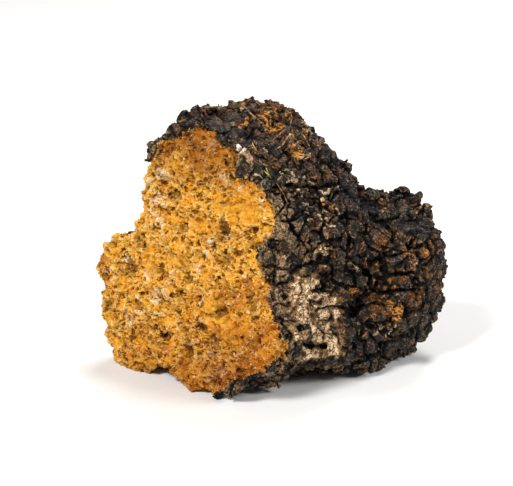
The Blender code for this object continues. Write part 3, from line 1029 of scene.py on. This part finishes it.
# Between which heights it turns browner and deeper, and how much the drift and the clumps
# shift them. The deeper tone lies along a slope.
BROWNER = (26, 46)
BROWNER_SHIFT = (9, 5)
DEEPER = (-52, -24)
DEEPER_SHIFT = (10, 6)
DEEPER_SLOPE = 0.45
PALE_HEART = [
    (158, 200, 3.2, 1), (163, 199, 2.4, 1), (148, 183, 2.8, 0.9), (162, 175, 4, 0.7),
    (158, 222, 2.8, 1), (151, 222, 2, 0.9), (167, 233, 1.4, 1), (152, 210, 2.6, 0.8),
    (155, 296, 3.6, 0.8), (162, 291, 2.6, 0.9), (172, 275, 3.2, 0.6), (146, 276, 2.6, 0.6),
    (209, 288, 1.8, 0.9), (206, 252, 2, 0.9), (210, 243, 2, 0.8), (228, 266, 1.4, 0.9),
    (197, 268, 2.6, 0.6), (138, 316, 3.6, 0.7), (130, 318, 2.6, 0.6), (126, 258, 2.2, 0.6),
    (200, 302, 2.4, 0.6), (227, 237, 1.5, 1), (210, 150, 2.6, 0.6), (213, 142, 2.4, 0.7),
    (225, 180, 2.6, 0.6), (237, 172, 2.4, 0.5), (214, 354, 2.6, 0.5), (236, 357, 1.8, 0.6),
    (257, 354, 1.4, 0.8), (222, 372, 3.4, 0.5), (207, 378, 3, 0.5), (224, 366, 2, 0.5),
    (262, 200, 1.6, 0.7), (240, 187, 1.6, 0.7), (108, 268, 1.4, 0.8), (190, 345, 2.4, 0.5),
]
BROWN_HEART = [
    (101, 262, 4, 0.9), (103, 276, 3.2, 0.8), (170, 150, 4, 0.6), (138, 241, 3, 0.6),
    (112, 305, 5, 0.4), (135, 300, 4, 0.4), (185, 172, 3, 0.4), (230, 158, 4, 0.6), (160, 345, 4, 0.4),
    (215, 343, 5, 0.6), (105, 322, 3, 0.4), (250, 290, 5, 0.6), (256, 308, 4, 0.5), (133, 262, 3, 0.4),
    (265, 190, 2.4, 0.6), (205, 327, 3.6, 0.4), (190, 358, 5, 0.5), (243, 370, 4, 0.5),
    (150, 370, 5, 0.5), (140, 222, 2, 0.6),
]
ORANGE_HEART = [
    (262, 300, 5, 0.9), (268, 330, 6, 1), (255, 345, 7, 0.9), (238, 325, 7, 0.8), (262, 358, 5, 0.8),
    (225, 378, 7, 0.8), (200, 388, 6, 0.7), (245, 368, 6, 0.8), (215, 330, 5, 0.6), (180, 370, 6, 0.5),
    (130, 355, 7, 0.5), (105, 350, 6, 0.5), (112, 290, 5, 0.5), (160, 330, 5, 0.5), (265, 285, 4, 0.7),
    (200, 300, 7, 0.5), (225, 302, 7, 0.8), (245, 305, 6, 0.9), (190, 325, 6, 0.5), (250, 285, 5, 0.7),
    (170, 185, 5, 0.4), (200, 160, 6, 0.5), (215, 255, 4, 0.3), (140, 330, 6, 0.5),
]

drift = sample(clouds(DRIFT_SIZE), face)
browner = ramp(face[:, 2] + BROWNER_SHIFT[0] * drift + BROWNER_SHIFT[1] * clump, *BROWNER)
browner = np.maximum(browner, patches(face, BROWN_HEART, wander[in_heart] * 1.6))
slope = face[:, 2] - DEEPER_SLOPE * face[:, 0]
slope = slope + DEEPER_SHIFT[0] * drift + DEEPER_SHIFT[1] * clump
# The pores, kept for the painted shade in them
store(skin, "pore", over_all(pore, in_heart))
store(skin, "calm", over_all(calm, in_heart))
store(skin, "pale", patches(points, PALE_HEART, wander * 1.4))
store(skin, "browner", over_all(browner, in_heart))
store(skin, "deeper", over_all(1 - ramp(slope, *DEEPER), in_heart))
store(skin, "orange", over_all(patches(face, ORANGE_HEART, wander[in_heart] * 2), in_heart))

# Sizes of the patterns in mm. The threads of the cork are about 0.1 mm thick, too fine to
# show, so they are drawn as bundles of 2.4 mm, and its powder as grit of 0.8 mm.
HEART_CLOUDS = {"grit": 0.8, "mottle": 2.4, "cloud": 8.0}
HEART_WAVE = 4.0
HEART_BEND = 4.0
HEART_DRIFT = 4.5
HEART_BUNDLE = 2.4
HEART_HOLE = 1.3
BUNDLE_LEAN = math.radians(-20)
BUNDLE_STRETCH = (0.32, 1, 1)
HEART_BUMP = 0.6
HEART_ROUGHNESS = 0.9
HEART_GLOSS = 0.2

# Corky heart, torn: golden orange and quite matt, streaked along its threads, with pale powder
# and painted shade in its pores
heart_material, tree, shader = new_material(
    "corky heart", Roughness=HEART_ROUGHNESS, Specular_IOR_Level=HEART_GLOSS)
place, patterns = read_patterns(
    tree, ("crest", "pore", "calm", "pale", "pits", "browner", "deeper", "orange"), HEART_CLOUDS)
wave = add_node(tree, "ShaderNodeTexNoise", {
    "Vector": place, "Scale": scale_of(HEART_WAVE), "Detail": 2.0}).outputs["Color"]
crooked = add_node(tree, "ShaderNodeVectorMath", {0: wave, 1: (HEART_BEND * MM,) * 3, 2: place},
                   operation="MULTIPLY_ADD").outputs[0]
drawn = add_node(tree, "ShaderNodeMapping", {
    "Vector": crooked, "Rotation": (0, BUNDLE_LEAN, BREAK_TURN), "Scale": BUNDLE_STRETCH}).outputs["Vector"]
patterns["drift"] = add_node(tree, "ShaderNodeTexNoise", {
    "Vector": drawn, "Scale": scale_of(HEART_DRIFT), "Detail": 4.0, "Roughness": 0.6}).outputs["Fac"]
patterns["hole"] = add_node(tree, "ShaderNodeTexVoronoi", {
    "Vector": drawn, "Scale": scale_of(HEART_HOLE)}).outputs["Distance"]
patterns["bundle"] = add_node(tree, "ShaderNodeTexNoise", {
    "Vector": drawn, "Scale": scale_of(HEART_BUNDLE), "Detail": 4.0, "Roughness": 0.65, "Offset": 1.0},
    noise_type="RIDGED_MULTIFRACTAL").outputs["Fac"]
# The height over the near surroundings, with grit: the gold's painted shade and highlight follow it
rise = add_node(tree, "ShaderNodeMapRange", {
    "Value": patterns["crest"], "From Min": -0.5, "From Max": 0.5}).outputs["Result"]
level = add_node(tree, "ShaderNodeMath", {0: patterns["grit"], 1: rise}, operation="ADD").outputs[0]
patterns["level"] = add_node(tree, "ShaderNodeMath", {0: level, 1: 0.5}, operation="SUBTRACT").outputs[0]
colour = layered(tree, patterns, [
    # Gold by height, from brown in the hollows to cream on the crests: the cork's own tone with painted
    # shade and painted highlight
    (("level", (0.0, "#4A2E0A"), (0.2, "#8F5E1A"), (0.36, "#DC9620"), (0.56, "#F0AD2E"),
      (0.82, "#F2C468"), (1.0, "#F6DCA4")), 1.0),
    # Clouds of brown and orange, and even orange in the calm fields
    ("#9A661A", 0.5, ("cloud", 0.52, 0.64)),
    ("#EE9F20", 0.8, ("cloud", 0.49, 0.38)),
    ("#E89C20", 0.35, ("calm", 0.0, 0.9)),
    # The orange edge and the pale powder
    (("grit", (0.36, "#8E4C0C"), (0.5, "#C97812"), (0.64, "#E9A032")), 0.75,
     ("orange", 0.1, 0.7, "mottle")),
    (("grit", (0.38, "#D8A864"), (0.5, "#F2D4A4"), (0.62, "#FFF0D6")), 1.0,
     ("pale", 0.15, 0.7), ("mottle", 0.4, 0.5)),
    # Streaks along the threads, light and dark, broad and then narrow
    ("#EDA52E", 0.6, ("drift", 0.5, 0.62)),
    ("#94600F", 0.6, ("drift", 0.46, 0.34)),
    ("#F5DFB2", 0.75, ("bundle", 1.45, 1.8), ("mottle", 0.42, 0.58), ("calm", 1.2, 0.2)),
    ("#5C3406", 0.95, ("bundle", 0.8, 0.4), ("mottle", 0.58, 0.48), ("calm", 1.3, 0.2)),
    # Painted shade in holes too fine for the mesh, and in the sunk hollows and pores
    ("#432604", 0.95, ("hole", 0.3, 0.2), ("mottle", 0.56, 0.48), ("calm", 0.8, 0.1)),
    ("#5A3C10", 0.7, ("pits", 0.0, 1.0)),
    ("#4A300C", 0.8, ("pore", 0.0, 1.0)),
])
for name, tint in (("browner", "#BEA89E"), ("deeper", "#D6BEAC")):
    colour = add_node(tree, "ShaderNodeMix", {0: patterns[name], 6: colour, 7: tint},
                      data_type="RGBA", blend_type="MULTIPLY").outputs[2]
tree.links.new(colour, shader.inputs["Base Color"])
threads_up = add_node(tree, "ShaderNodeMath", {0: patterns["bundle"], 1: 0.5, 2: patterns["grit"]},
                      operation="MULTIPLY_ADD").outputs[0]
bump = add_node(tree, "ShaderNodeBump", {
    "Height": threads_up, "Distance": HEART_BUMP * MM, "Strength": BUMP_STRENGTH}).outputs["Normal"]
tree.links.new(bump, shader.inputs["Normal"])

skin.data.materials.append(rind_material)
skin.data.materials.append(heart_material)
only(skin)
bpy.ops.object.shade_smooth()
first_corners = np.empty(len(skin.data.polygons), np.int32)
skin.data.polygons.foreach_get("loop_start", first_corners)
corners = np.empty(len(skin.data.loops), np.int32)
skin.data.loops.foreach_get("vertex_index", corners)
is_heart = (heart > 0.5)[corners[first_corners]]
skin.data.polygons.foreach_set("material_index", is_heart.astype(np.int32))


# Flakes of the rind: thin curled scales of char that have sprung loose and still cling to it.
# They are largest and most on the dry crown, where one large scale stands up at the top left.
LOOSE_SEED = 21
FLAKE_BENDS = (50, 90, 140)
FLAKE_SHAKE = 0.14
FLAKE_THICKNESS = 0.13
FLAKE_LENGTHS = (0.7, 1.3)
FLAKE_WIDTHS = (0.5, 1.0)
FLAKE_TILTS = (-0.25, 0.25)
FLAKE_LIFT = 0.15
UNDERSIDE = -0.7

# How many there are and how large, then the share of them that has a tint and its strength
CROWN_FLAKES = (80, 1.4, 3.4)
OTHER_FLAKES = (140, 0.8, 1.8)
RUSTY_FLAKES = (0.18, 0.9)
GREY_FLAKES = (0.18, 0.8)
TORN_SCALE = (211, 110)
TORN_SCALE_SIZE = (8.0, 5.0, 4.0)
TORN_SCALE_LIFT = 0.8


def shaken(shape, amount, seed):
    """Moves the corners of a shape at random, so that no two shapes are alike."""
    bpy.ops.object.mode_set(mode="EDIT")
    bpy.ops.transform.vertex_random(offset=amount, seed=seed)
    bpy.ops.object.mode_set(mode="OBJECT")
    return shape


def standing(spot, lift, spin, tilt, scale):
    """The matrix that sets a shape on a spot of the skin, its Z along the normal but for a tilt."""
    normal = Vector(facing[spot])
    turn = normal.to_track_quat("Z", "Y").to_matrix().to_4x4()
    lean = Matrix.Rotation(spin, 4, "Z") @ Matrix.Rotation(tilt, 4, "X")
    place = Vector(points[spot]) + normal * lift
    return Matrix.Translation(place) @ turn @ lean @ Matrix.Diagonal((*scale, 1))


def joined(name, placings, material, **attributes):
    """Copies shapes to their places and joins the copies in one piece."""
    corners, faces, owners = [], [], []
    for number, (shape, matrix) in enumerate(placings):
        start = len(corners)
        corners += [matrix @ vertex.co for vertex in shape.data.vertices]
        faces += [[start + corner for corner in face.vertices] for face in shape.data.polygons]
        owners += [number] * len(shape.data.vertices)
    mesh = bpy.data.meshes.new(name)
    mesh.from_pydata(corners, [], faces)
    mesh.materials.append(material)
    piece = bpy.data.objects.new(name, mesh)
    bpy.context.scene.collection.objects.link(piece)
    for attribute, values in attributes.items():
        store(piece, attribute, np.broadcast_to(values, len(placings))[owners])
    return piece


def lay_down(piece):
    """Lays a piece of the conk as the conk rests, none of it below the surface it rests on."""
    piece.data.transform(lie)
    places = vectors_of(piece, "co")
    places[:, 2] = np.maximum(places[:, 2], 0)
    put(piece, places)
    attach(piece, "root")
    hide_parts("chaga")


def sometimes(share, value):
    """A value for a share of the draws, and 0 for the others."""
    return value if random.random() < share else 0.0


random.seed(LOOSE_SEED)
skin_tree = surface_of(skin)
points = vectors_of(skin, "co")
facing = vectors_of(skin, "normal")
on_crown = stored(skin, "crown")
calm = stored(skin, "calm")
pale_plates_and_edges = np.maximum(stored(skin, "pale_bark"), stored(skin, "pale_edge"))
rough_rind = (heart < 0.1) & (stored(skin, "sleek") < 0.3)

flake_shapes = []
for seed, bend in enumerate(FLAKE_BENDS, 1):
    bpy.ops.object.select_all(action="DESELECT")
    bpy.ops.mesh.primitive_grid_add(x_subdivisions=4, y_subdivisions=3, size=1)
    flake = shaken(bpy.context.object, FLAKE_SHAKE, seed)
    modify(flake, "SIMPLE_DEFORM", deform_method="BEND", deform_axis="Y", angle=math.radians(bend))
    modify(flake, "SOLIDIFY", thickness=FLAKE_THICKNESS, offset=0)
    flake_shapes.append(flake)
crown_spots = np.flatnonzero((on_crown > 0.3) & rough_rind)
other_spots = np.flatnonzero((on_crown < 0.3) & rough_rind & (facing[:, 2] > UNDERSIDE))
placings, tones, rusty, greyish = [], [], [], []
for spots, (count, low, high) in ((crown_spots, CROWN_FLAKES), (other_spots, OTHER_FLAKES)):
    for _ in range(count):
        spot = random.choice(spots)
        size = random.uniform(low, high)
        scale = (size * random.uniform(*FLAKE_LENGTHS), size * random.uniform(*FLAKE_WIDTHS), size)
        placings.append((random.choice(flake_shapes), standing(
            spot, FLAKE_LIFT, random.uniform(0, math.tau), random.uniform(*FLAKE_TILTS), scale)))
        tones.append(random.random())
        rusty.append(sometimes(*RUSTY_FLAKES))
        greyish.append(sometimes(*GREY_FLAKES))
across, up, towards = (axis.normalized() for axis in to_break.col)
torn = seen_at(TORN_SCALE) + up * TORN_SCALE_LIFT
upright = Matrix((across, -towards, up)).transposed().to_4x4()
placings.append((
    flake_shapes[1], Matrix.Translation(torn) @ upright @ Matrix.Diagonal((*TORN_SCALE_SIZE, 1))))
flakes = joined(
    "rind_flakes", placings, rind_material, block=tones + [0.7], rust=rusty + [0.0],
    grey_bark=greyish + [0.5], crest=0.15, block_edge=OPEN, lump_edge=OPEN)
lay_down(flakes)


# Crumbs of the rind and of the heart, broken off in harvesting and half sunk in the surface
# that they came from. Each is a small blunt chip with the finish of its surface.
RIND_CRUMBS = (1500, 0.5, 1.5)
HEART_CRUMBS = (1500, 0.4, 1.1)
CRUMB_SHAKE = 0.12
CRUMB_STRETCHES = (0.6, 1.3)
CRUMB_TILTS = (-1, 1)
RUSTY_CRUMBS = (0.12, 0.9)
GREY_CRUMBS = (0.1, 0.8)
PALE_CRUMBS = (0.12, 1.0)
CRUMB_CRESTS = (-0.1, 0.4)

crumb_shapes = []
for seed in (1, 2, 3):
    bpy.ops.object.select_all(action="DESELECT")
    bpy.ops.mesh.primitive_ico_sphere_add(subdivisions=1, radius=0.5)
    crumb_shapes.append(shaken(bpy.context.object, CRUMB_SHAKE, seed))


def scattered(spots, count, low, high):
    """Crumbs at places on the skin, half sunk in it."""
    placings = []
    for _ in range(count):
        spot = random.choice(spots)
        size = random.uniform(low, high)
        scale = [size * random.uniform(*CRUMB_STRETCHES) for _ in range(3)]
        placings.append((random.choice(crumb_shapes), standing(
            spot, 0, random.uniform(0, math.tau), random.uniform(*CRUMB_TILTS), scale)))
    return placings


placings = scattered(np.flatnonzero(rough_rind), *RIND_CRUMBS)
rind_crumbs = joined(
    "rind_crumbs", placings, rind_material, block=[random.random() for _ in placings],
    rust=[sometimes(*RUSTY_CRUMBS) for _ in placings],
    grey_bark=[sometimes(*GREY_CRUMBS) for _ in placings],
    crest=0.1, block_edge=OPEN, lump_edge=OPEN)
lay_down(rind_crumbs)
placings = scattered(np.flatnonzero((heart > 0.9) & (calm < 0.6)), *HEART_CRUMBS)
heart_crumbs = joined(
    "heart_crumbs", placings, heart_material, crest=[random.uniform(*CRUMB_CRESTS) for _ in placings],
    pale=[sometimes(*PALE_CRUMBS) for _ in placings], orange=[random.random() for _ in placings], calm=0.3)
lay_down(heart_crumbs)
for shape in crumb_shapes:
    bpy.data.objects.remove(shape)


# Threads of the heart: fine dried fibres of the torn tissue. They creep along its growth and
# arch a little off it.
THREADS = 420
THREAD_STEPS = 5
THREAD_STRIDES = (0.35, 0.8)
THREAD_LIFTS = (0.1, 0.5)
THREAD_RADII = (0.06, 0.11)
THREAD_SINK = 0.06
THREAD_HEADINGS = (-1.2, 0.8)
THREAD_WAVER = 0.6
TAPER = 0.7
THREAD_MOTTLE = 2.0
THREAD_TINTS = ((0.36, "#B87A2C"), (0.5, "#DDAE62"), (0.62, "#F2DCB0"))


def dry_fibre(name, mottle_size, tints, detail, roughness, gloss=0.5):
    """A dry plant tissue: matt, and mottled from a dark to a pale tone."""
    material, tree, shader = new_material(name, Roughness=roughness, Specular_IOR_Level=gloss)
    place = add_node(tree, "ShaderNodeTexCoord").outputs["Object"]
    mottle = add_node(tree, "ShaderNodeTexNoise", {
        "Vector": place, "Scale": scale_of(mottle_size), "Detail": detail}).outputs["Fac"]
    colour = add_node(tree, "ShaderNodeValToRGB", {"Fac": mottle}, stops=tints).outputs["Color"]
    tree.links.new(colour, shader.inputs["Base Color"])
    return material


def strands(name, routes, radii, material, sides=0):
    """Tapered round strands along their routes, joined in one piece."""
    curve = bpy.data.curves.new(name, "CURVE")
    curve.dimensions = "3D"
    curve.bevel_depth = 1.0
    curve.bevel_resolution = sides
    curve.use_fill_caps = True
    for route, radius in zip(routes, radii):
        spline = curve.splines.new("POLY")
        spline.points.add(len(route) - 1)
        for number, (point, place) in enumerate(zip(spline.points, route)):
            point.co = (*place, 1)
            point.radius = radius * (1 - TAPER * abs(2 * number / (len(route) - 1) - 1) ** 3)
    piece = bpy.data.objects.new(name, curve)
    bpy.context.scene.collection.objects.link(piece)
    only(piece)
    bpy.ops.object.convert(target="MESH")
    bpy.ops.object.shade_smooth()
    piece.data.name = name
    piece.data.materials.append(material)
    return piece


def crept(place, heading, steps, stride, lift):
    """A route over the skin: each step is laid back on it, and the middle is lifted off it."""
    route = []
    for number in range(steps + 1):
        near, normal, _, _ = skin_tree.find_nearest(place)
        route.append(near + normal * (lift * math.sin(math.pi * number / steps) - THREAD_SINK))
        heading = heading + Vector([random.uniform(-THREAD_WAVER, THREAD_WAVER) for _ in range(3)])
        heading = (heading - normal * heading.dot(normal)).normalized()
        place = near + heading * stride
    return route


# Dried fungal fibre: honey to cream, the pale fuzz on the gold of the heart
thread_material = dry_fibre(
    "dried pale fibre", THREAD_MOTTLE, THREAD_TINTS, detail=3.0, roughness=0.85, gloss=0.2)
thread_spots = np.flatnonzero((heart > 0.9) & (calm < 0.75))
routes = []
for _ in range(THREADS):
    spot = random.choice(thread_spots)
    heading = Vector((1, 0, random.uniform(*THREAD_HEADINGS))) * random.choice((-1, 1))
    stride, lift = random.uniform(*THREAD_STRIDES), random.uniform(*THREAD_LIFTS)
    routes.append(crept(Vector(points[spot]), heading, THREAD_STEPS, stride, lift))
radii = [random.uniform(*THREAD_RADII) for _ in routes]
lay_down(strands("heart_threads", routes, radii, thread_material))


# Root strands: dry, wiry rootlets that were caught on the crown. They lie loose over it and
# bridge its hollows.
ROOT_RADIUS = 0.3
ROOT_LIFT = 0.4
ROOT_MOTTLE = 1.5
ROOT_TINTS = ((0.36, "#4A3018"), (0.5, "#8A6034"), (0.62, "#BE8E54"))
ROOT_STRANDS = [
    [(271, 142), (277, 137), (283, 132), (290, 127)], [(290, 127), (291, 119), (290, 113)],
    [(250, 112), (255, 117), (259, 122), (268, 128)], [(275, 180), (279, 185), (282, 190), (288, 203)],
    [(303, 160), (310, 156)], [(276, 150), (284, 143), (289, 136)],
    [(246, 108), (252, 116), (260, 119)], [(300, 133), (306, 139), (309, 146)],
    [(258, 104), (266, 108), (274, 107)], [(284, 150), (292, 146), (300, 141)],
]


def laid(pixels, lift):
    """A route over the skin as the photograph shows it, smoothed where it bridges hollows."""
    route = []
    for start, end in zip(pixels, pixels[1:]):
        steps = max(1, round(math.dist(start, end) / 2))
        for step in range(steps + (end == pixels[-1])):
            line = sight(part_way(start, end, step / steps))
            near, normal, _, _ = skin_tree.ray_cast(eye, line)
            if near is not None:
                route.append(near + normal * lift)
    for _ in range(2):
        threes = zip(route, route[1:], route[2:])
        inner = [(before + place * 2 + after) / 4 for before, place, after in threes]
        route = route[:1] + inner + route[-1:]
    return route


# Dry root: brown and woody, with a faint shine
root_material = dry_fibre("dry root fibre", ROOT_MOTTLE, ROOT_TINTS, detail=3.0, roughness=0.7)
routes = [laid(route, ROOT_LIFT) for route in ROOT_STRANDS]
lay_down(strands("root_strands", routes, [ROOT_RADIUS] * len(routes), root_material, 1))


# Curls of birch bark: small pale scales of the tree's bark that the rind tore and carried
# out with it. They lie on the pale plates and along the pale edges.
CURLS = 70
CURL_SIZES = (0.8, 2.4)
CURL_WIDTHS = (0.3, 0.8)
CURL_HEIGHT = 0.7
CURL_TILTS = (-0.2, 0.2)
CURL_LIFT = 0.1
BARK_MOTTLE = 1.6
BARK_TINTS = ((0.34, "#4A3420"), (0.48, "#9A7A52"), (0.62, "#DDBF92"))

# Dried inner bark: tan to cream and quite matt
bark_material = dry_fibre(
    "dried birch bark", BARK_MOTTLE, BARK_TINTS, detail=4.0, roughness=0.85, gloss=0.2)
curl_spots = np.flatnonzero((heart < 0.1) & (pale_plates_and_edges > 0.3))
placings = []
for _ in range(CURLS):
    spot = random.choice(curl_spots)
    size = random.uniform(*CURL_SIZES)
    placings.append((random.choice(flake_shapes), standing(
        spot, CURL_LIFT, random.uniform(0, math.tau), random.uniform(*CURL_TILTS),
        (size, size * random.uniform(*CURL_WIDTHS), size * CURL_HEIGHT))))
lay_down(joined("bark_curls", placings, bark_material))
for shape in flake_shapes:
    bpy.data.objects.remove(shape)


# Moss: three thin sprigs that grew over the edge of the crown and dried there. They hold
# on to the rind by themselves.
MOSS_RADIUS = 0.28
MOSS_LIFT = 0.5
MOSS_MOTTLE = 1.0
MOSS_TINTS = ((0.36, "#7A7018"), (0.5, "#B8A62C"), (0.62, "#E2D46A"))
MOSS = [
    [(253, 142), (255, 147), (258, 151)], [(264, 171), (267, 174), (271, 178)],
    [(266, 168), (268, 172), (270, 174)],
]

# Dry moss: a dull yellow green, the one cool tint on the conk
moss_material = dry_fibre("dry yellow moss", MOSS_MOTTLE, MOSS_TINTS, detail=3.0, roughness=0.8)
routes = [laid(route, MOSS_LIFT) for route in MOSS]
lay_down(strands("moss_strands", routes, [MOSS_RADIUS] * len(routes), moss_material))


# The heart and the rind, last: the finished skin is cut in five by planes and each cut is
# capped, only to keep every piece a light mesh. The cuts close up, so the conk looks whole.
CUTS = {
    "heart": {"place": (0, 4.4, 0), "away": (0, -1, 0)},
    "right_lobe": {"place": (0, 66, 0), "away": (0, 1, 0)},
    "crown": {"place": (0, 0, 18), "away": (0, 0, 1)},
    "left_flank": {"place": (8, 0, 0), "away": (-1, 0, 0)},
}
CUT_WELD = 1e-5


def cut(piece, name, place, away):
    """Cuts a piece in two by a plane and caps both: what lies towards away gets the name and leaves."""
    part = piece.copy()
    part.data = piece.data.copy()
    part.name = part.data.name = name
    bpy.context.scene.collection.objects.link(part)
    for half, gone in ((piece, True), (part, False)):
        only(half)
        bpy.ops.object.mode_set(mode="EDIT")
        bpy.ops.mesh.select_all(action="SELECT")
        bpy.ops.mesh.bisect(plane_co=place, plane_no=away, use_fill=True, clear_outer=gone,
                            clear_inner=not gone, threshold=CUT_WELD)
        bpy.ops.object.mode_set(mode="OBJECT")
    return part


for name, plane in CUTS.items():
    lay_down(cut(skin, name, **plane))
skin.name = skin.data.name = "right_flank"
lay_down(skin)

low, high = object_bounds()
